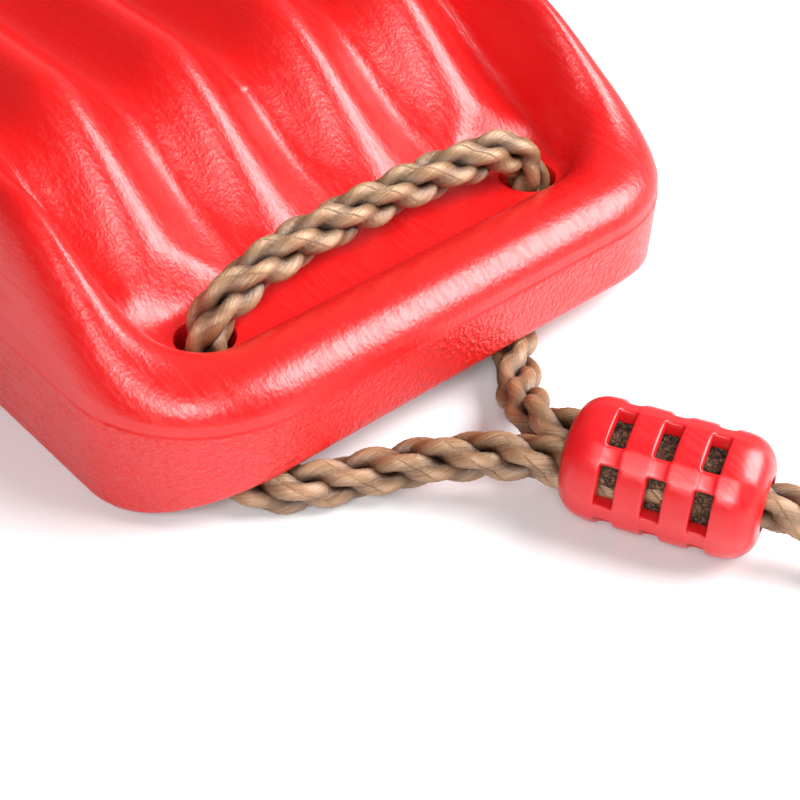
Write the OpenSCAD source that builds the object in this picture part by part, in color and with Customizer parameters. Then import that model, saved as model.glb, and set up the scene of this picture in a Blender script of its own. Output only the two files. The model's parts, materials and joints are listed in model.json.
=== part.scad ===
// Rope swing: a hollow ribbed seat hung from two rope bridles with caged clamps.
// Frame: X along the seat, Y across it, Z up, floor at zero, all lengths in mm.

/* [Seat] */
// Length of the seat
seat_len = 420; // [380:5:460]
// Width of the seat
seat_w = 168; // [160:1:176]
// Corner radius of the seat seen from above
corner_r = 35; // [32:1:40]
// Wall of the hollow moulding
wall = 3; // [2.5:0.5:4]
// Height of the parting line over the floor
parting_z = 28.5; // [28:0.5:30]
// Height of the rim crest at the two ends
rim_end_z = 38; // [37:0.5:40]
// Height of the rim crest along the two sides
rim_side_z = 64; // [58:1:68]
// Height of the rope groove at its floor
groove_z = 29.5; // [28.5:0.5:30]
// Height of the rib crests in the middle of the seat
rib_top_z = 70; // [66:1:74]
// Spacing of the ribs across the seat
rib_pitch = 32; // [30:1:34]
// Depth of the valleys between the ribs
rib_depth = 12; // [8:0.5:13]
// Height of the underside at the ends, where the ropes pass
end_lift = 11.5; // [11:0.5:12]

/* [Rope] */
// Diameter of the rope
rope_d = 10; // [9:0.5:10]
// Distance of the rope holes from the end of the seat
hole_in = 33; // [32:1:34]
// Half the distance between the two rope holes of an end
hole_y = 50; // [48:0.5:51]
// Diameter of the rope holes
hole_d = 14; // [13:0.5:15]
// Length of the straight rope between the turn and the top clamp
run_len = 450; // [300:10:600]
// Radius of the turn in the resting rope
turn_r = 110; // [100:5:120]

/* [Clamps and rings] */
// Length of a rope clamp
clamp_len = 44; // [42:1:48]
// Diameter of a rope clamp
clamp_d = 28; // [28:0.5:30]
// Width of a clamp window along the rope
window_w = 3.6; // [3:0.1:4.2]
// Outside diameter of the hanging ring
ring_d = 60; // [55:1:70]
// Bar diameter of the hanging ring
ring_bar = 8; // [7:0.5:9]

/* [Hidden] */
$fn = 48;
GAP = 0.3;
STUB = 2.5;

SEAT_RED = [0.86, 0.10, 0.08];
ROPE_TAN = [0.74, 0.58, 0.40];
STEEL = [0.72, 0.73, 0.75];

end_x = seat_len / 2;
rope_r = rope_d / 2;
hole_x = end_x - hole_in;

// Rim and ribs
rim_overlap = 4;
rim_draw = 0.3;
rim_in = 10;
rim_rise_from = 12;
rim_rise_to = 65;
rib_rise_from = 28;
rib_rise_to = 95;
valley_from = 30;
valley_to = 75;
end_bar_in = 26;
side_rim_in = 19;
middle_dip = 3;

// Underside: it stands on its middle and its two sides, and each end is arched for the ropes.
foot_half = 95;
ramp_to = 165;
arch_flat = 47;
ramp_steps = 8;
arch_steps = 20;
boss_wall = 2.5;
vent_d = 6;

// Bridle: where each leg passes the end edge, and where it enters the clamp
near_cross = [end_x, -47, rope_r];
near_heading = 71;
near_out = -40;
far_cross = [end_x, 15.5, rope_r];
far_heading = -38;
far_out = -46;
foot_bend_r = end_lift - rope_r;
foot_steps = 6;
clamp_out = 35;
clamp_y = -2.5;
clamp_yaw = 26;
clamp_r = clamp_d / 2;
clamp_bore = rope_d + 0.4;
clamp_neck_r = rope_r + 1.2;
clamp_round = 7;
leg_side = rope_r + 0.1;
tail_len = 9;
near_reach = 14;
far_reach = 8;
turn_gap = 3;

// Clamp cage
spines = 6;
spine_w = 4.6;
spine_drop = 0.3;
hoop_w = 6.6;
cap_w = (clamp_len - 3 * window_w - 2 * hoop_w) / 2;

// Resting turn of the hanging rope
neck_len = 46;
turn_steps = 2;
turn_angle = 180 - clamp_yaw;
step_angle = turn_angle / turn_steps;
clamp_mouth = [end_x + clamp_out, clamp_y, clamp_r];
turn_start = clamp_mouth + (clamp_len + neck_len) * [cos(clamp_yaw), sin(clamp_yaw), 0];
turn_c = [turn_start.x - turn_r * sin(clamp_yaw), turn_start.y + turn_r * cos(clamp_yaw), rope_r];
run_y = turn_c.y + turn_r;

// Eye and ring at the top of each rope
top_exit_x = turn_c.x - run_len;
top_mouth_x = top_exit_x - clamp_len;
eye_r = ring_bar / 2 + rope_r + 1.2;
eye_x = top_mouth_x - 20;
eye_z = rope_r + eye_r;
ring_r = (ring_d - ring_bar) / 2;
ring_tilt = asin((eye_z - ring_bar / 2) / (2 * ring_r));

function clamp01(t) = max(0, min(1, t));
function smooth(t) = let (k = clamp01(t)) k * k * (3 - 2 * k);
function mix(a, b, t) = a + (b - a) * t;

// Distance inward from the seat's outline, and from its nearer end.
function edge_in(p) =
    let (qx = abs(p.x) - end_x + corner_r, qy = abs(p.y) - seat_w / 2 + corner_r)
    corner_r - norm([max(qx, 0), max(qy, 0)]) - min(max(qx, qy), 0);
function end_in(p) = end_x - abs(p.x);

// Top surface of the seat: rolled rim, rope groove, and ribs that rise to the middle.
function rim_z(p) =
    mix(rim_end_z, rim_side_z, smooth((end_in(p) - rim_rise_from) / (rim_rise_to - rim_rise_from)));
function rib_wave(y) = (1 - cos(360 * (y / rib_pitch - 0.5))) / 2;
function rib_rise(e) = smooth((e - rib_rise_from) / (rib_rise_to - rib_rise_from));
function valley_cut(e) = rib_depth * smooth((e - valley_from) / (valley_to - valley_from));
function middle_z(p) =
    let (dip = middle_dip * (1 - smooth(abs(p.y) / 45)))
    groove_z + (rib_top_z - dip - groove_z) * rib_rise(end_in(p)) - valley_cut(end_in(p)) * rib_wave(p.y);
function seat_top(p) =
    let (
        d = edge_in(p),
        reach = mix(end_bar_in, side_rim_in, smooth((end_in(p) - 15) / 40)) - rim_in,
        t = clamp01((d - rim_in) / reach)
    )
    d < rim_in
        ? parting_z + (rim_z(p) - parting_z) * sqrt(max(0, 1 - pow(1 - d / rim_in, 2)))
        : mix(rim_z(p), middle_z(p), pow(t, 1.7));

// Half outline as [foot of the corner radius, direction], from one end round to the other.
function half_outline() =
    let (cx = end_x - corner_r, cy = seat_w / 2 - corner_r, ends = 3, arcs = 5, sides = 20)
    concat(
        [for (k = [0 : ends - 1]) [[cx, cy * (k + 0.5) / ends], [1, 0]]],
        [for (k = [0 : arcs]) [[cx, cy], [cos(90 * k / arcs), sin(90 * k / arcs)]]],
        [for (k = [1 : sides - 1]) [[cx * cos(180 * k / sides), cy], [0, 1]]],
        [for (k = [0 : arcs]) [[-cx, cy], [-sin(90 * k / arcs), cos(90 * k / arcs)]]],
        [for (k = [0 : ends - 1]) [[-cx, cy * (ends - k - 0.5) / ends], [-1, 0]]]
    );
function outline() =
    let (h = half_outline(), n = len(h))
    concat(h, [for (k = [n - 1 : -1 : 0]) [[h[k][0].x, -h[k][0].y], [h[k][1].x, -h[k][1].y]]]);
function inset(o, d) = o[0] + (corner_r - d) * o[1];

// Closed block under the seat's top surface, drawn in a little from the seat's outline.
module seat_block(foot_z, inset_d) {
    out = outline();
    n = len(out);
    half = n / 2;
    last_in = end_bar_in;
    spine_x = end_x - last_in - (seat_w / 2 - last_in);
    rim_steps = [0, 1, 3.5, 7, 10, 14, 19];
    rim_rings = [for (s = rim_steps) s + inset_d];
    mid_rings = [for (k = [0 : 7]) 1 - k / 8];
    function drawn_in(p, s) =
        [abs(p.x) > spine_x ? sign(p.x) * mix(spine_x, abs(p.x), s) : p.x, p.y * s];
    function lifted(p) = [p.x, p.y, seat_top(p)];
    rings = concat(
        [[for (o = out) let (p = inset(o, inset_d)) [p.x, p.y, foot_z]]],
        [for (d = rim_rings) [for (o = out) lifted(inset(o, d))]],
        [for (s = mid_rings) [for (o = out) lifted(drawn_in(inset(o, last_in), s))]]
    );
    points = [for (r = rings) for (p = r) p];
    last = (len(rings) - 1) * n;
    faces = concat(
        [[for (k = [0 : n - 1]) k]],
        [for (r = [0 : len(rings) - 2]) for (k = [0 : n - 1])
            each [
                [r * n + k, (r + 1) * n + k, (r + 1) * n + (k + 1) % n],
                [r * n + k, (r + 1) * n + (k + 1) % n, r * n + (k + 1) % n]
            ]],
        [for (k = [0 : half - 2])
            each [
                [last + k, last + n - 1 - k, last + n - 2 - k],
                [last + k, last + n - 2 - k, last + k + 1]
            ]]
    );
    polyhedron(points, faces);
}

module seat_outline(d) {
    cx = end_x - corner_r;
    cy = seat_w / 2 - corner_r;
    square([2 * cx, seat_w - 2 * d], center = true);
    square([seat_len - 2 * d, 2 * cy], center = true);
    for (sx = [-1, 1])
        for (sy = [-1, 1])
            translate([sx * cx, sy * cy]) circle(corner_r - d, $fn = 96);
}

// Arched relief under each end, so the ropes can pass between the seat and the floor.
function arch_z(y) = end_lift * (1 - pow(max(0, (abs(y) - arch_flat) / (seat_w / 2 - arch_flat)), 2));
module end_relief() {
    ramp = [for (k = [0 : ramp_steps]) let (x = mix(foot_half, ramp_to, k / ramp_steps))
        [x, underside_z(x)]];
    profile = concat([[foot_half, -1]], ramp, [[end_x + 5, end_lift], [end_x + 5, -1]]);
    arch = [for (k = [-arch_steps : arch_steps]) let (y = seat_w / 2 * k / arch_steps) [y, arch_z(y)]];
    for (side = [0, 180])
        rotate([0, 0, side])
            intersection() {
                translate([0, seat_w, 0])
                    rotate([90, 0, 0]) linear_extrude(2 * seat_w) polygon(profile);
                rotate([90, 0, 90]) linear_extrude(seat_len)
                    polygon(concat([[-seat_w / 2, -1]], arch, [[seat_w / 2, -1]]));
            }
}

module at_rope_holes() {
    for (sx = [-1, 1])
        for (sy = [-1, 1])
            translate([sx * hole_x, sy * hole_y, 0]) children();
}

// Hollow of the moulding: its floor follows the underside and its roof the valleys.
hollow_stations = 20;
hollow_in = wall + 2;
function underside_z(x) =
    end_lift * smooth((abs(x) - foot_half) / (ramp_to - foot_half));
function valley_floor_z(x) =
    let (e = end_x - abs(x))
    groove_z + (rib_top_z - middle_dip - groove_z) * rib_rise(e) - valley_cut(e);
module hollow() {
    n = hollow_stations;
    xs = [for (k = [-n : n]) (end_x - hollow_in) * k / n];
    profile = concat(
        [for (k = [0 : 2 * n]) [xs[k], underside_z(xs[k]) + wall]],
        [for (k = [2 * n : -1 : 0]) [xs[k], valley_floor_z(xs[k]) - wall]]
    );
    difference() {
        intersection() {
            linear_extrude(rib_top_z) seat_outline(hollow_in);
            translate([0, seat_w, 0])
                rotate([90, 0, 0]) linear_extrude(2 * seat_w) polygon(profile);
        }
        at_rope_holes() cylinder(d = hole_d + 2 * boss_wall, h = parting_z * 2);
    }
}

module seat() {
    color(SEAT_RED)
        difference() {
            union() {
                difference() {
                    linear_extrude(parting_z) seat_outline(0);
                    end_relief();
                }
                seat_block(parting_z - rim_overlap, rim_draw);
            }
            hollow();
            at_rope_holes() cylinder(d = hole_d, h = parting_z * 2);
            translate([0, 0, -1]) cylinder(d = vent_d, h = wall + 2);
        }
}

// Rope swept along a list of points, with its section turned as little as possible.
rope_sides = 16;
function unit(v) = v / norm(v);
function tangent(points, k) =
    unit(points[min(k + 1, len(points) - 1)] - points[max(k - 1, 0)]);
function square_to(v, t) = unit(v - (v * t) * t);
function first_side(t) = abs(t.z) > 0.9 ? square_to([1, 0, 0], t) : square_to([0, 0, 1], t);
function section_sides(points, k = 0, before = undef) =
    k == len(points)
        ? []
        : let (
            t = tangent(points, k),
            side = is_undef(before) ? first_side(t) : square_to(before, t)
        )
        concat([side], section_sides(points, k + 1, side));
module rope(points) {
    n = rope_sides;
    sides = section_sides(points);
    last = len(points) - 1;
    corners = [
        for (k = [0 : last]) for (j = [0 : n - 1])
            let (u = sides[k], v = cross(tangent(points, k), u), a = 360 * j / n)
            points[k] + rope_r * (cos(a) * u + sin(a) * v)
    ];
    faces = concat(
        [[for (j = [0 : n - 1]) j]],
        [[for (j = [n - 1 : -1 : 0]) last * n + j]],
        [for (k = [0 : last - 1]) for (j = [0 : n - 1])
            each [
                [k * n + j, (k + 1) * n + j, (k + 1) * n + (j + 1) % n],
                [k * n + j, (k + 1) * n + (j + 1) % n, k * n + (j + 1) % n]
            ]]
    );
    color(ROPE_TAN) polyhedron(corners, faces);
}

function bezier(a, b, c, d, n) = [
    for (k = [0 : n]) let (t = k / n, s = 1 - t)
        s * s * s * a + 3 * s * s * t * b + 3 * s * t * t * c + t * t * t * d
];
function heading(a) = [cos(a), sin(a), 0];
function rest(list) = [for (k = [1 : len(list) - 1]) list[k]];

function reversed(list) = [for (k = [len(list) - 1 : -1 : 0]) list[k]];

// Below a hole the rope turns from upright to flat on the floor, then runs to the end edge.
function foot_bend(foot, out) = [
    for (k = [0 : foot_steps]) let (a = 90 * k / foot_steps)
        foot + foot_bend_r * (1 - cos(a)) * heading(out)
            + [0, 0, rope_r + foot_bend_r * (1 - sin(a))]
];
function to_cross(foot, out, cross_at, cross_heading) =
    let (
        from = foot + foot_bend_r * heading(out) + [0, 0, rope_r],
        edge = cross_at - GAP * heading(cross_heading),
        stub = edge - STUB * heading(cross_heading),
        reach = norm(stub - from) * 0.42
    )
    concat(rest(bezier(from, from + reach * heading(out), stub - reach * heading(cross_heading),
        stub, 7)), [edge]);

// The rope through one end of the seat: under the end, up a hole, over the groove and back.
module groove_rope() {
    high = groove_z + rope_r + 7;
    sink = groove_z - 2;
    near_foot = [hole_x, -hole_y, 0];
    far_foot = [hole_x, hole_y, 0];
    middle = [hole_x - 2.5, 0, high];
    over = bezier([hole_x, -hole_y, sink], [hole_x, -hole_y, high - 2.5],
        [hole_x - 2, -30, high], middle, 6);
    back = bezier(middle, [hole_x - 1, 30, high], [hole_x, hole_y, high + 3.5],
        [hole_x, hole_y, sink], 6);
    rope(concat(
        reversed(to_cross(near_foot, near_out, near_cross, near_heading)),
        reversed(foot_bend(near_foot, near_out)),
        over,
        rest(back),
        foot_bend(far_foot, far_out),
        to_cross(far_foot, far_out, far_cross, far_heading)
    ));
}

// The two legs of the bridle, from the end edge to the mouth of the seat clamp.
function beside_mouth(side) =
    clamp_mouth - turn_gap * heading(clamp_yaw) + side * leg_side * heading(clamp_yaw + 90);
module leg(cross_at, cross_heading, side, reach, steps) {
    start = cross_at + GAP * heading(cross_heading);
    finish = beside_mouth(side);
    stub = start + STUB * heading(cross_heading);
    last = finish - STUB * heading(clamp_yaw);
    rope(concat([start], bezier(stub, stub + reach * heading(cross_heading),
        last - reach * heading(clamp_yaw), last, steps), [finish]));
}
module near_leg() {
    leg(near_cross, near_heading, -1, near_reach, 8);
}
module far_leg() {
    leg(far_cross, far_heading, 1, far_reach, 6);
}

// Caged barrel clamp along +X, with its wide mouth at zero.
module clamp_profile() {
    intersection() {
        union() {
            translate([clamp_round, 0]) square([clamp_len - 2 * clamp_round, clamp_r]);
            translate([0, 0]) square([clamp_len, clamp_r - clamp_round]);
            for (x = [clamp_round, clamp_len - clamp_round])
                translate([x, clamp_r - clamp_round]) circle(clamp_round);
        }
        union() {
            translate([0, clamp_bore]) square([clamp_len, clamp_r]);
            translate([clamp_len - wall, clamp_neck_r]) square([wall, clamp_r]);
        }
    }
}
module rope_clamp() {
    color(SEAT_RED)
        difference() {
            rotate([0, 90, 0]) rotate([0, 0, 90]) rotate_extrude($fn = 96)
                rotate([0, 0, 90]) mirror([0, 1]) clamp_profile();
            for (k = [0 : 2])
                translate([cap_w + k * (window_w + hoop_w), 0, 0])
                    difference() {
                        rotate([0, 90, 0]) cylinder(r = clamp_r + 1, h = window_w);
                        for (s = [0 : spines - 1])
                            rotate([60 * s + 18, 0, 0])
                                translate([-1, -spine_w / 2, 0])
                                    cube([window_w + 2, spine_w, clamp_r - spine_drop]);
                    }
        }
}
module seat_clamp() {
    translate(clamp_mouth) rotate([0, 0, clamp_yaw]) rope_clamp();
}
module top_clamp() {
    translate([top_mouth_x, run_y, clamp_r]) rope_clamp();
}

// Points of the resting turn, by angle about its centre, and its torus pieces.
rope_gap_angle = GAP / turn_r * 180 / PI;
function turn_points(from, sweep, n) = [
    for (k = [0 : n]) turn_c + turn_r * heading(from + sweep * k / n)
];
module turn_arc(from, sweep) {
    color(ROPE_TAN)
        translate(turn_c)
            rotate([0, 0, from])
                rotate_extrude(angle = sweep, $fn = 180) translate([turn_r, 0]) circle(rope_r);
}

// The rope inside the seat clamp and on to the first hinge of the turn.
function from_mouth(x, y, z) =
    clamp_mouth + x * heading(clamp_yaw) + y * heading(clamp_yaw + 90) + [0, 0, z];
module clamp_rope() {
    drop = rope_r - clamp_r;
    rope(concat(
        [
            from_mouth(-turn_gap + GAP, -leg_side, 0),
            from_mouth(tail_len + 3, -leg_side, 0),
            from_mouth(30, 0, 0),
            from_mouth(clamp_len + 2, 0, 0)
        ],
        [for (k = [1 : 4]) from_mouth(clamp_len + 2 + 8 * k, 0, drop * smooth(k / 4))],
        turn_points(clamp_yaw - 90, step_angle / 2 - rope_gap_angle, 5)
    ));
}
module tail_end() {
    translate(clamp_mouth)
        rotate([0, 0, clamp_yaw])
                rope([[-turn_gap + GAP, leg_side, 0], [tail_len, leg_side, 0]]);
}

// The rope of the resting turn between its two hinges.
module turn_rope() {
    turn_arc(clamp_yaw - 90 + step_angle / 2 + rope_gap_angle, step_angle - 2 * rope_gap_angle);
}
module long_rope() {
    rise = clamp_r - rope_r;
    rope(concat(
        turn_points(90 - step_angle / 2 + rope_gap_angle, step_angle / 2 - rope_gap_angle, 5),
        [for (k = [0 : 4]) [top_exit_x + 42 - 10 * k, run_y, rope_r + rise * smooth(k / 4)]],
        [[top_exit_x + GAP, run_y, clamp_r]]
    ));
}

// The rope end that goes through the top clamp and round the ring.
module eye_rope() {
    bow = [for (k = [0 : 8]) let (a = 90 + 180 * k / 8)
        [eye_x + eye_r * cos(a), run_y, eye_z + eye_r * sin(a)]];
    rope(concat(
        [
            [top_exit_x - GAP, run_y, clamp_r],
            [top_exit_x - 14, run_y, clamp_r],
            [top_exit_x - 32, run_y, clamp_r + leg_side],
            [top_mouth_x, run_y, clamp_r + leg_side]
        ],
        bow,
        [
            [top_mouth_x, run_y, clamp_r - leg_side],
            [top_mouth_x + 14, run_y, clamp_r - leg_side]
        ]
    ));
}
module ring() {
    color(STEEL)
        translate([eye_x, run_y, eye_z])
            rotate([0, -ring_tilt, 0])
                translate([-ring_r, 0, 0])
                    rotate_extrude($fn = 96) translate([ring_r, 0]) circle(d = ring_bar);
}

module other_end() {
    rotate([0, 0, 180]) children();
}

seat();
groove_rope();  // right_groove_rope
near_leg();  // right_near_leg
far_leg();  // right_far_leg
seat_clamp();  // right_seat_clamp
clamp_rope();  // right_clamp_rope
tail_end();  // right_tail_end
turn_rope();  // right_turn_rope
long_rope();  // right_long_rope
top_clamp();  // right_top_clamp
eye_rope();  // right_eye_rope
ring();  // right_ring
other_end() groove_rope();  // left_groove_rope
other_end() near_leg();  // left_near_leg
other_end() far_leg();  // left_far_leg
other_end() seat_clamp();  // left_seat_clamp
other_end() clamp_rope();  // left_clamp_rope
other_end() tail_end();  // left_tail_end
other_end() turn_rope();  // left_turn_rope
other_end() long_rope();  // left_long_rope
other_end() top_clamp();  // left_top_clamp
other_end() eye_rope();  // left_eye_rope
other_end() ring();  // left_ring
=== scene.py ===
"""Rope swing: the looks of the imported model. Lengths are in millimetres, meshes in metres."""

import json
import math

import bmesh
import bpy
import numpy as np
from mathutils import Matrix, Vector


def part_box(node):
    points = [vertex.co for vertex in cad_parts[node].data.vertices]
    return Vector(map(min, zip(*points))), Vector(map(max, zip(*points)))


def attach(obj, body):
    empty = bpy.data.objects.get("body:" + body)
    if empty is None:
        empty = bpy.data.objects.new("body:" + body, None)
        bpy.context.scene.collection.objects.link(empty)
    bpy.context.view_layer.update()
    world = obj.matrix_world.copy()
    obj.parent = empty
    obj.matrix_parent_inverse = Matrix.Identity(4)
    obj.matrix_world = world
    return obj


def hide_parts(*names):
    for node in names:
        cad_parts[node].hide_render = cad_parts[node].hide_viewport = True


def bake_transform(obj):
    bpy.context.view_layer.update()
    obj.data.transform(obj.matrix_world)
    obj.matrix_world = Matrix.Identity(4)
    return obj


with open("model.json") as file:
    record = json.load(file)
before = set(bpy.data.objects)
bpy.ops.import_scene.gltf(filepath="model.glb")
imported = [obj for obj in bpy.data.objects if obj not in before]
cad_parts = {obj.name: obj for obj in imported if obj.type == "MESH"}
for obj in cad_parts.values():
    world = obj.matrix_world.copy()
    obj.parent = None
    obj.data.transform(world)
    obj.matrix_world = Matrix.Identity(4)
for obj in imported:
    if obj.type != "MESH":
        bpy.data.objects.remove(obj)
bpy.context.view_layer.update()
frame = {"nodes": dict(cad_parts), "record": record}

MM = 0.001
RECORD = frame["record"]
JOINTS = {j["name"]: j for j in RECORD["behaviour"]["joints"]}


# ---------------------------------------------------------------- sizes

def node_box(name):
    """Lowest and highest corner of a CAD node, in millimetres."""
    low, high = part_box(name)
    return np.array(low) / MM, np.array(high) / MM


SEAT_LOW, SEAT_HIGH = node_box("seat")
END_X = SEAT_HIGH[0]
HALF_W = SEAT_HIGH[1]
CORNER_R = 35.0
PARTING_Z = 28.5
RIM_END_Z = 38.0
RIM_SIDE_Z = 64.0
GROOVE_Z = 29.5
RIB_TOP_Z = 70.0
RIB_PITCH = 32.0
RIB_DEPTH = 12.0
MIDDLE_DIP = 3.0
END_LIFT = 11.5
FOOT_HALF = 95.0
RAMP_TO = 165.0
ARCH_FLAT = 47.0
RIM_IN = 10.0
END_BAR_IN = 26.0
SIDE_RIM_IN = 19.0

HOLE_IN = 33.0
HOLE_X = END_X - HOLE_IN
HOLE_Y = 50.0
HOLE_R = 7.0

ROPE_R = 5.0


def joint_point(name):
    return np.array(JOINTS[name]["pos_m"]) / MM


def smooth(t):
    k = np.clip(t, 0, 1)
    return k * k * (3 - 2 * k)


def mix(a, b, t):
    return a + (b - a) * t


# ---------------------------------------------------------------- mesh helpers

def new_object(name, points, faces):
    """A mesh object from points in millimetres."""
    mesh = bpy.data.meshes.new(name)
    mesh.from_pydata((np.asarray(points, float) * MM).tolist(), [], faces)
    mesh.validate()
    obj = bpy.data.objects.new(name, mesh)
    bpy.context.scene.collection.objects.link(obj)
    for polygon in mesh.polygons:
        polygon.use_smooth = True
    return obj


def outward(obj):
    """Turn every face of a closed mesh outward, with a sharp edge round each many-sided cap."""
    bm = bmesh.new()
    bm.from_mesh(obj.data)
    bmesh.ops.recalc_face_normals(bm, faces=bm.faces)
    for face in bm.faces:
        if len(face.verts) > 8:
            for edge in face.edges:
                edge.smooth = False
    bm.to_mesh(obj.data)
    bm.free()
    return obj


def applied(obj):
    """The object with its modifiers applied."""
    graph = bpy.context.evaluated_depsgraph_get()
    mesh = bpy.data.meshes.new_from_object(obj.evaluated_get(graph))
    obj.modifiers.clear()
    obj.data = mesh
    return obj


def remove(obj):
    bpy.data.objects.remove(obj, do_unlink=True)


def grid_faces(rows, columns, closed=True):
    """Quads between rows of points, each row a loop when closed."""
    span = columns if closed else columns - 1
    return [
        (r * columns + c, r * columns + (c + 1) % columns,
         (r + 1) * columns + (c + 1) % columns, (r + 1) * columns + c)
        for r in range(rows - 1) for c in range(span)
    ]


# ---------------------------------------------------------------- seat

def edge_in(x, y):
    """Distance inward from the seat's outline."""
    qx = np.abs(x) - END_X + CORNER_R
    qy = np.abs(y) - HALF_W + CORNER_R
    outside = np.hypot(np.maximum(qx, 0), np.maximum(qy, 0))
    return CORNER_R - outside - np.minimum(np.maximum(qx, qy), 0)


def rim_z(x):
    u = END_X - np.abs(x)
    return mix(RIM_END_Z, RIM_SIDE_Z, smooth((u - 12) / 53))


def middle_z(x, y):
    u = END_X - np.abs(x)
    dip = MIDDLE_DIP * (1 - smooth(np.abs(y) / 45))
    wave = (1 - np.cos(2 * np.pi * (y / RIB_PITCH - 0.5))) / 2
    z = GROOVE_Z + (RIB_TOP_Z - dip - GROOVE_Z) * smooth((u - 28) / 67)
    z = z - RIB_DEPTH * smooth((u - 30) / 45) * wave
    to_hole = np.hypot(np.abs(x) - HOLE_X, np.abs(y) - HOLE_Y)
    return mix(GROOVE_Z, z, smooth((to_hole - 8) / 12))


def seat_top(x, y):
    """Height of the seat's upper surface."""
    d = edge_in(x, y)
    u = END_X - np.abs(x)
    rim = rim_z(x)
    reach = mix(END_BAR_IN, SIDE_RIM_IN, smooth((u - 15) / 40)) - RIM_IN
    t = np.clip((d - RIM_IN) / reach, 0, 1)
    shoulder = np.sqrt(np.clip(1 - (1 - np.minimum(d, RIM_IN) / RIM_IN) ** 2, 0, 1))
    outer = PARTING_Z + (rim - PARTING_Z) * shoulder
    inner = mix(rim, middle_z(x, y), t ** 1.7)
    return np.where(d < RIM_IN, outer, inner)


def underside_z(x, y):
    ramp = END_LIFT * smooth((np.abs(x) - FOOT_HALF) / (RAMP_TO - FOOT_HALF))
    beyond = np.clip((np.abs(y) - ARCH_FLAT) / (HALF_W - ARCH_FLAT), 0, 1)
    return np.minimum(ramp, END_LIFT * (1 - beyond**2))


def seat_outline(ends=26, arcs=30, sides=150):
    """Feet of the corner radius and outward directions, symmetric about y = 0."""
    cx, cy = END_X - CORNER_R, HALF_W - CORNER_R
    feet, ways = [], []
    for k in range(ends):
        feet.append((cx, cy * (k + 0.5) / ends))
        ways.append((1, 0))
    for k in range(arcs + 1):
        a = math.pi / 2 * k / arcs
        feet.append((cx, cy))
        ways.append((math.cos(a), math.sin(a)))
    for k in range(1, sides):
        feet.append((cx * math.cos(math.pi * k / sides), cy))
        ways.append((0, 1))
    for k in range(arcs + 1):
        a = math.pi / 2 * k / arcs
        feet.append((-cx, cy))
        ways.append((-math.sin(a), math.cos(a)))
    for k in range(ends):
        feet.append((-cx, cy * (ends - k - 0.5) / ends))
        ways.append((-1, 0))
    feet, ways = np.array(feet), np.array(ways)
    flip = np.array([1, -1])
    return np.vstack([feet, feet[::-1] * flip]), np.vstack([ways, ways[::-1] * flip])


def build_seat():
    feet, ways = seat_outline()
    count = len(feet)
    spine_x = END_X - END_BAR_IN - (HALF_W - END_BAR_IN)

    def inset(d):
        return feet + (CORNER_R - d) * ways

    def drawn_in(s):
        p = inset(END_BAR_IN)
        x = np.where(np.abs(p[:, 0]) > spine_x,
                     np.sign(p[:, 0]) * mix(spine_x, np.abs(p[:, 0]), s), p[:, 0])
        return np.column_stack([x, p[:, 1] * s])

    def row(p, z):
        return np.column_stack([p, z * np.ones(len(p))])

    rings = []
    edge_r = 3.0
    draft = 0.8
    skirt_z = underside_z(*inset(0).T)
    for s in np.linspace(0, 1, 13)[:-1] * 0.97 + 0.03:
        p = drawn_in(s)
        rings.append(row(p, underside_z(p[:, 0], p[:, 1])))
    for d in (26, 18, 12, 8, 5.5):
        p = inset(d)
        rings.append(row(p, underside_z(p[:, 0], p[:, 1])))
    for a in np.linspace(0, math.pi / 2, 7):
        p = inset(draft + edge_r * (1 - math.sin(a)))
        rings.append(row(p, skirt_z + edge_r * (1 - math.cos(a))))
    for t in np.linspace(0, 1, 6)[1:]:
        p = inset(draft * (1 - t))
        rings.append(row(p, mix(skirt_z + edge_r, PARTING_Z - 0.9, t)))
    for d, dz in ((0.05, -0.45), (0.25, -0.15), (0.3, 0.1)):
        rings.append(row(inset(d), PARTING_Z + dz))
    for a in np.linspace(0, math.pi / 2, 22)[1:]:
        d = 0.3 + (RIM_IN - 0.3) * (1 - math.cos(a))
        p = inset(d)
        rings.append(row(p, seat_top(p[:, 0], p[:, 1])))
    for d in [*np.linspace(RIM_IN, END_BAR_IN - 0.5, 20)[1:], END_BAR_IN]:
        p = inset(d)
        rings.append(row(p, seat_top(p[:, 0], p[:, 1])))
    for s in [0.992, *np.linspace(0.975, 0.015, 44)]:
        p = drawn_in(s)
        rings.append(row(p, seat_top(p[:, 0], p[:, 1])))
    faces = grid_faces(len(rings), count)
    half = count // 2
    last = (len(rings) - 1) * count
    for k in range(half - 1):
        faces.append((last + k, last + k + 1, last + count - 2 - k, last + count - 1 - k))
        faces.append((count - 1 - k, count - 2 - k, k + 1, k))
    seat = outward(new_object("seat_shell", np.vstack(rings), faces))
    cut_holes(seat)
    return seat


def lathe(profile, steps, name):
    """Closed solid turned about Z from (radius, height) pairs that start and end on the axis."""
    points = [(0, 0, profile[0][1])]
    for r, z in profile[1:-1]:
        for k in range(steps):
            a = 2 * math.pi * k / steps
            points.append((r * math.cos(a), r * math.sin(a), z))
    points.append((0, 0, profile[-1][1]))
    rows = len(profile) - 2
    faces = [tuple(1 + i for i in f) for f in grid_faces(rows, steps)]
    last = len(points) - 1
    for k in range(steps):
        faces.append((0, 1 + (k + 1) % steps, 1 + k))
        faces.append((last, last - steps + k, last - steps + (k + 1) % steps))
    return outward(new_object(name, points, faces))


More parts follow.
